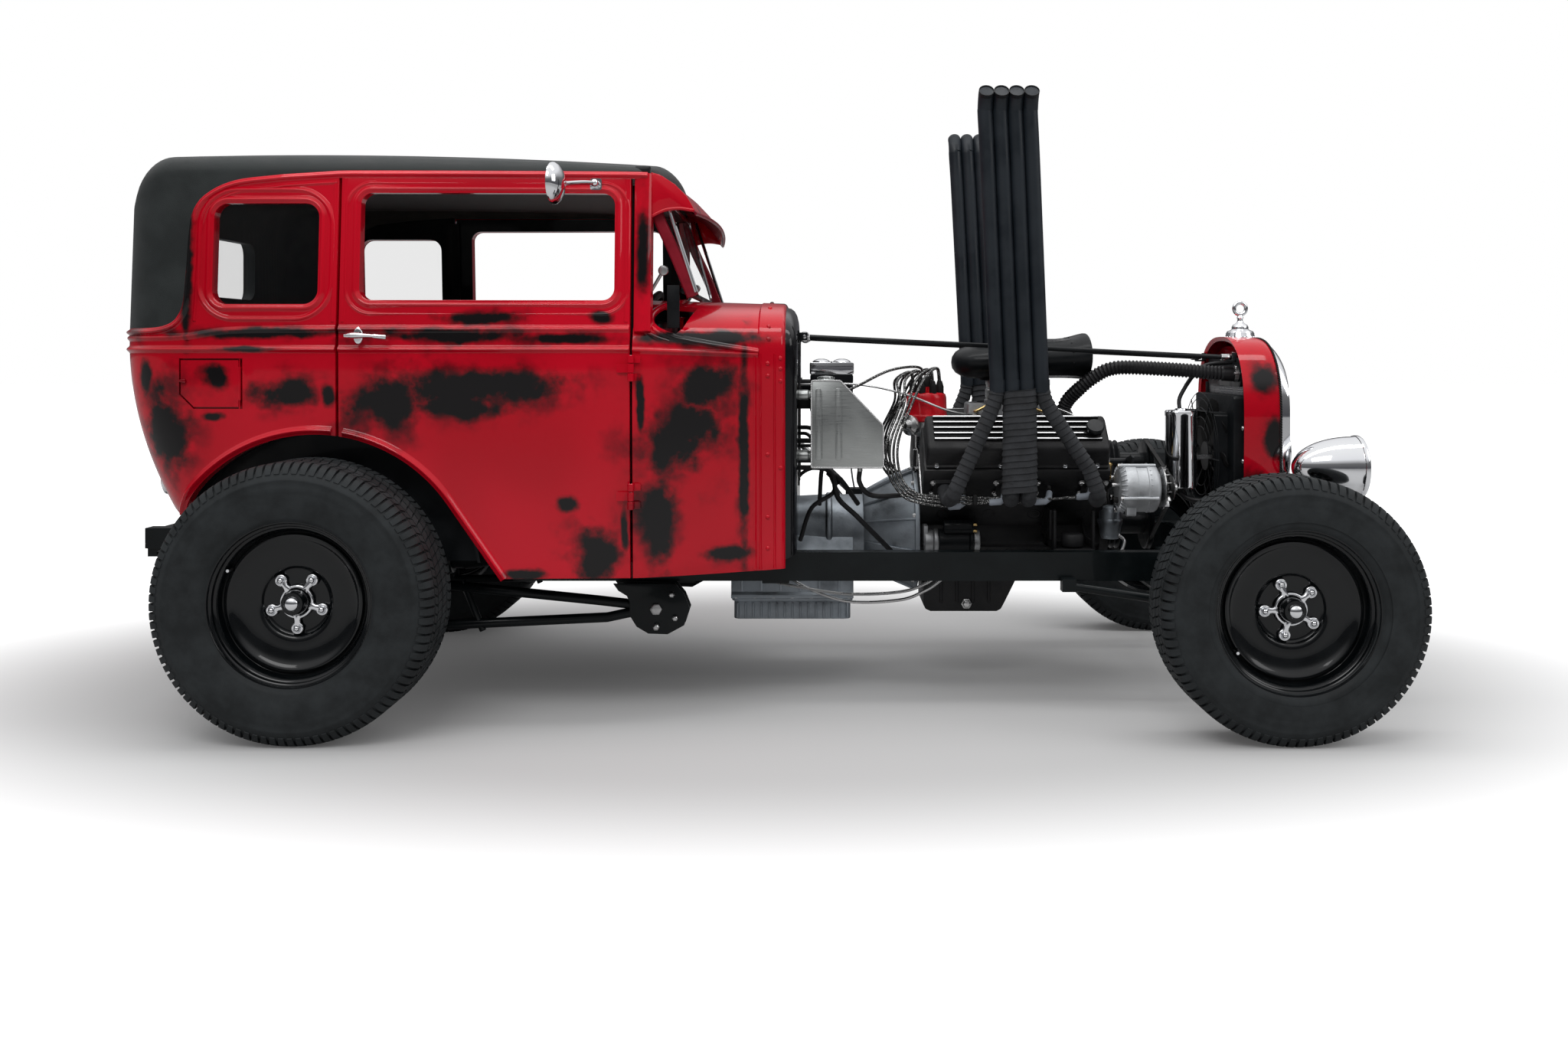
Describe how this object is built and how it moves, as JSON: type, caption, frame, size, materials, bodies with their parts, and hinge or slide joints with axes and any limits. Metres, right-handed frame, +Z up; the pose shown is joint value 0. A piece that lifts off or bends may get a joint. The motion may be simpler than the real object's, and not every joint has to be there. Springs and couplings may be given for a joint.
{
  "type": "hot rod car",
  "caption": "Two-door hot rod car with open engine bay, tall vertical exhaust stacks, padded roof, opening doors, steered front wheels and free-rolling wheels.",
  "frame": {"origin": "ground level under the middle of the whole car", "axes": "+X forward, +Y to the left side of the car, +Z up"},
  "size_m": [3.601, 1.71, 1.8006],
  "materials": {
    "red_paint": "gloss with soft black patches",
    "roof_vinyl": "matt fine grain vinyl",
    "black_paint": "satin black",
    "gloss_black": "gloss black",
    "wheel_black": "gloss black",
    "tyre_rubber": "matt",
    "engine_black": "satin black over casting",
    "exhaust_black": "flat heat-proof black",
    "glass": "clear, tinted at the quarters",
    "seat_leather": "satin",
    "aluminium": "cast and brushed",
    "cast_grey": "rough cast",
    "red_plastic": "gloss",
    "hose_rubber": "satin",
    "black_plastic": "satin",
    "chrome": "polished",
    "red_lens": "clear red"
  },
  "bodies": {
    "root": {"frame_rail_right": "black_paint", "frame_rail_left": "black_paint", "frame_crossmembers": "black_paint", "floor_pan": "gloss_black", "rear_floor": "gloss_black", "wheel_tubs": "gloss_black", "firewall": "gloss_black", "cowl": "red_paint", "quarter_panel_right": "red_paint", "quarter_panel_left": "red_paint", "rear_panel": "red_paint", "vinyl_top": "roof_vinyl", "windshield_frame": "black_paint", "fixed_glass": "glass", "sun_visor": "red_paint", "seats": "seat_leather", "dashboard": "red_paint", "steering_column": "black_paint", "engine_block": "engine_black", "valve_covers": "engine_black", "intake": "aluminium", "air_scoop": "black_paint", "distributor": "red_plastic", "exhaust_headers": "exhaust_black", "alternator": "aluminium", "oil_pan": "black_paint", "gearbox": "cast_grey", "driveshaft": "black_paint", "radiator": "black_paint", "radiator_shell": "red_paint", "radiator_cap": "chrome", "radiator_hose": "hose_rubber", "support_rods": "black_paint", "headlights": "chrome", "front_axle": "black_paint", "rear_axle": "black_paint", "ladder_bars": "black_paint", "rear_coilovers": "chrome", "coolant_tank": "aluminium", "brake_master": "chrome", "tail_lights": "red_lens"},
    "door_right": {"door_right": "red_paint", "door_hardware_right": "chrome"},
    "door_left": {"door_left": "red_paint", "door_hardware_left": "chrome"},
    "knuckle_right": {"knuckle_right": "black_paint"},
    "knuckle_left": {"knuckle_left": "black_paint"},
    "tie_rod": {"tie_rod": "black_paint"},
    "wheel_front_right": {"tyre_front_right": "tyre_rubber", "rim_front_right": "wheel_black"},
    "wheel_front_left": {"tyre_front_left": "tyre_rubber", "rim_front_left": "wheel_black"},
    "wheel_rear_right": {"tyre_rear_right": "tyre_rubber", "rim_rear_right": "wheel_black"},
    "wheel_rear_left": {"tyre_rear_left": "tyre_rubber", "rim_rear_left": "wheel_black"},
    "steering_wheel": {"steering_wheel": "black_plastic"},
    "fan": {"fan": "black_plastic"},
    "fuel_door": {"fuel_door": "red_paint"}
  },
  "joints": [
    {"name": "steer_left", "type": "hinge", "parent": "root", "child": "knuckle_left", "pos_m": [1.423, 0.628, 0.3525], "axis": [0, 0, 1], "range_deg": [-30, 30]},
    {"name": "steer_right", "type": "hinge", "parent": "root", "child": "knuckle_right", "pos_m": [1.423, -0.628, 0.3525], "axis": [0, 0, 1], "range_deg": [-30, 30]},
    {"name": "tie_rod_pivot", "type": "hinge", "parent": "knuckle_left", "child": "tie_rod", "pos_m": [1.273, 0.628, 0.2675], "axis": [0, 0, 1], "range_deg": [-30, 30]},
    {"name": "steering_wheel_turn", "type": "hinge", "parent": "root", "child": "steering_wheel", "pos_m": [-0.455, 0.33, 1.085], "axis": [-0.866, 0, 0.5], "range_deg": [-450, 450]},
    {"name": "wheel_front_left_spin", "type": "hinge", "parent": "knuckle_left", "child": "wheel_front_left", "pos_m": [1.423, 0.7525, 0.3525], "axis": [0, 1, 0], "continuous": true},
    {"name": "wheel_front_right_spin", "type": "hinge", "parent": "knuckle_right", "child": "wheel_front_right", "pos_m": [1.423, -0.7525, 0.3525], "axis": [0, 1, 0], "continuous": true},
    {"name": "wheel_rear_left_spin", "type": "hinge", "parent": "root", "child": "wheel_rear_left", "pos_m": [-1.204, 0.73, 0.3725], "axis": [0, 1, 0], "continuous": true},
    {"name": "wheel_rear_right_spin", "type": "hinge", "parent": "root", "child": "wheel_rear_right", "pos_m": [-1.204, -0.73, 0.3725], "axis": [0, 1, 0], "continuous": true},
    {"name": "door_right_hinge", "type": "hinge", "parent": "root", "child": "door_right", "pos_m": [-0.34, -0.646, 0.812], "axis": [0, 0, 1], "range_deg": [0, 70]},
    {"name": "door_left_hinge", "type": "hinge", "parent": "root", "child": "door_left", "pos_m": [-0.34, 0.646, 0.812], "axis": [0, 0, -1], "range_deg": [0, 70]},
    {"name": "fuel_door_hinge", "type": "hinge", "parent": "root", "child": "fuel_door", "pos_m": [-1.411, -0.64647, 0.946], "axis": [0, 0, 1], "range_deg": [0, 95]},
    {"name": "fan_spin", "type": "hinge", "parent": "root", "child": "fan", "pos_m": [1.432, 0, 0.7], "axis": [1, 0, 0], "continuous": true}
  ],
  "couplings": [
    {"joint": "steer_right", "follows": "steer_left", "ratio": 1},
    {"joint": "tie_rod_pivot", "follows": "steer_left", "ratio": -1},
    {"joint": "steering_wheel_turn", "follows": "steer_left", "ratio": 15}
  ]
}
